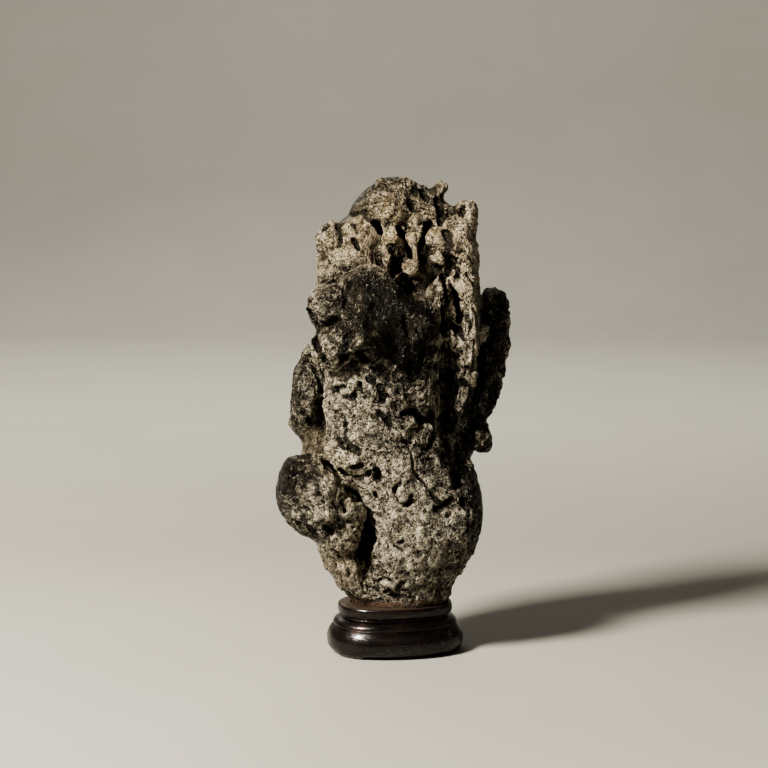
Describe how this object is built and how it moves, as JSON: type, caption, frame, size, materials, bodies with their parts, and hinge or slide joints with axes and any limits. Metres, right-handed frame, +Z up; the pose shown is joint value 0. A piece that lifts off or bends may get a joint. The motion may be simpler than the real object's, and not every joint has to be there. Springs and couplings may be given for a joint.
{
  "type": "scholars rock",
  "caption": "Upright weathered limestone scholar's rock with lobes, ledges and slots, standing in an oval carved hardwood stand.",
  "frame": {"origin": "centre of the bounding box's underside, on the surface that the stand rests on", "axes": "+Z up, -Y out of the stone's front, +X to the right of someone facing it"},
  "size_m": [0.0748, 0.0458, 0.1496],
  "materials": {
    "weathered_limestone": "rough cream crust over dark grey stone, worn smooth and faintly glossy on the proud lobes",
    "dark_rosewood": "waxed, glossy"
  },
  "bodies": {
    "root": {"stone": "weathered_limestone", "stand": "dark_rosewood"}
  },
  "joints": []
}
